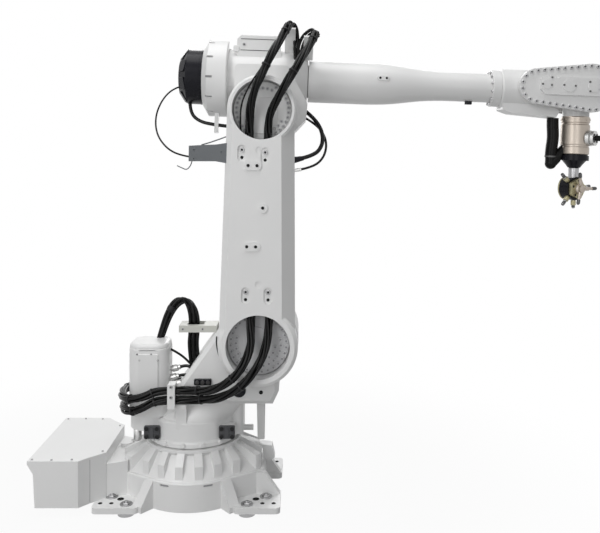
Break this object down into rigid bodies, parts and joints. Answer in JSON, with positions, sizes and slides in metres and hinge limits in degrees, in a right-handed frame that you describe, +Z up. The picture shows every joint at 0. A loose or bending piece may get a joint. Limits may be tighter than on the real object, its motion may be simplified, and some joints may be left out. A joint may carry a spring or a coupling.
{
  "type": "six-axis industrial robot arm",
  "caption": "White floor-mounted six-axis robot arm with ribbed base, hollow lower arm with cable bundles through its round openings, tapered arm tube and bent-down wrist with a tool head.",
  "frame": {"origin": "on axis 1 at floor level, under the levelling pads", "axes": "+X forward in the direction the arm points, +Y to the robot's left, +Z up"},
  "size_m": [2.8744, 0.7363, 2.3719],
  "materials": {
    "white_paint": "satin white paint",
    "steel": "machined steel",
    "grey_sheet": "grey painted sheet",
    "black_plastic": "matte black",
    "black_rubber": "black cable sheath",
    "tool_beige": "anodised warm grey",
    "tool_brass": "dull brass"
  },
  "bodies": {
    "base": {"base_casting": "white_paint", "levelling_pads": "steel", "rear_box": "white_paint", "rear_box_lid": "white_paint", "front_lug": "white_paint", "axis1_bearing": "steel"},
    "turntable": {"turntable_frame": "white_paint", "damper_plates": "black_plastic", "axis1_motor": "white_paint", "axis1_motor_cap": "white_paint", "axis2_gear": "steel", "axis2_motor": "white_paint", "frame_plug": "black_plastic", "frame_stops": "white_paint", "cable_bracket": "white_paint", "cable_clamp": "white_paint", "motor_leads": "black_rubber", "harness_loop": "black_rubber"},
    "lower_arm": {"lower_arm": "white_paint", "axis2_disc": "steel", "axis3_disc": "steel", "cable_box": "grey_sheet", "arm_harness": "black_rubber", "axis2_harness": "black_rubber"},
    "upper_arm": {"arm_housing": "white_paint", "axis3_gear": "steel", "axis3_motor": "white_paint", "gear_ring": "white_paint", "rear_motor": "black_plastic", "top_cover": "white_paint", "harness_brackets": "white_paint", "rear_motor_lead": "black_rubber", "axis3_harness": "black_rubber", "sensor_lead": "black_rubber", "axis3_leads": "black_rubber"},
    "arm_tube": {"arm_tube": "white_paint", "wrist_flange": "white_paint", "wrist_housing": "white_paint", "near_cover": "white_paint", "far_cover": "white_paint"},
    "wrist": {"wrist_tilt": "white_paint", "swivel_body": "tool_beige", "side_fitting": "steel", "hose_elbow": "black_rubber", "wrist_hose": "black_rubber"},
    "tool_head": {"tool_flange": "black_plastic", "tool_cone": "black_plastic", "head_drum": "black_plastic", "head_stem": "steel", "head_plate": "tool_brass", "head_rods": "steel"}
  },
  "joints": [
    {"name": "axis_1", "type": "hinge", "parent": "base", "child": "turntable", "pos_m": [0, 0, 0.293], "axis": [0, 0, 1], "range_deg": [-170, 170]},
    {"name": "axis_2", "type": "hinge", "parent": "turntable", "child": "lower_arm", "pos_m": [0.345, 0, 0.815], "axis": [0, 1, 0], "range_deg": [-66, 84], "deforming": ["axis2_harness"]},
    {"name": "axis_3", "type": "hinge", "parent": "lower_arm", "child": "upper_arm", "pos_m": [0.36463, 0, 1.93983], "axis": [0, -1, 0], "range_deg": [-68, 182], "deforming": ["axis3_harness", "sensor_lead", "axis3_leads"]},
    {"name": "axis_4", "type": "hinge", "parent": "upper_arm", "child": "arm_tube", "pos_m": [0.37128, 0, 2.1127], "axis": [0.9993, 0, -0.0384], "range_deg": [-300, 300]},
    {"name": "axis_5", "type": "hinge", "parent": "arm_tube", "child": "wrist", "pos_m": [1.9701, 0, 2.05128], "axis": [0, 1, 0], "range_deg": [-210, 12], "deforming": ["wrist_hose"]},
    {"name": "axis_6", "type": "hinge", "parent": "wrist", "child": "tool_head", "pos_m": [1.9701, 0, 2.05128], "axis": [-0.0384, 0, -0.9993], "range_deg": [-360, 360]}
  ]
}
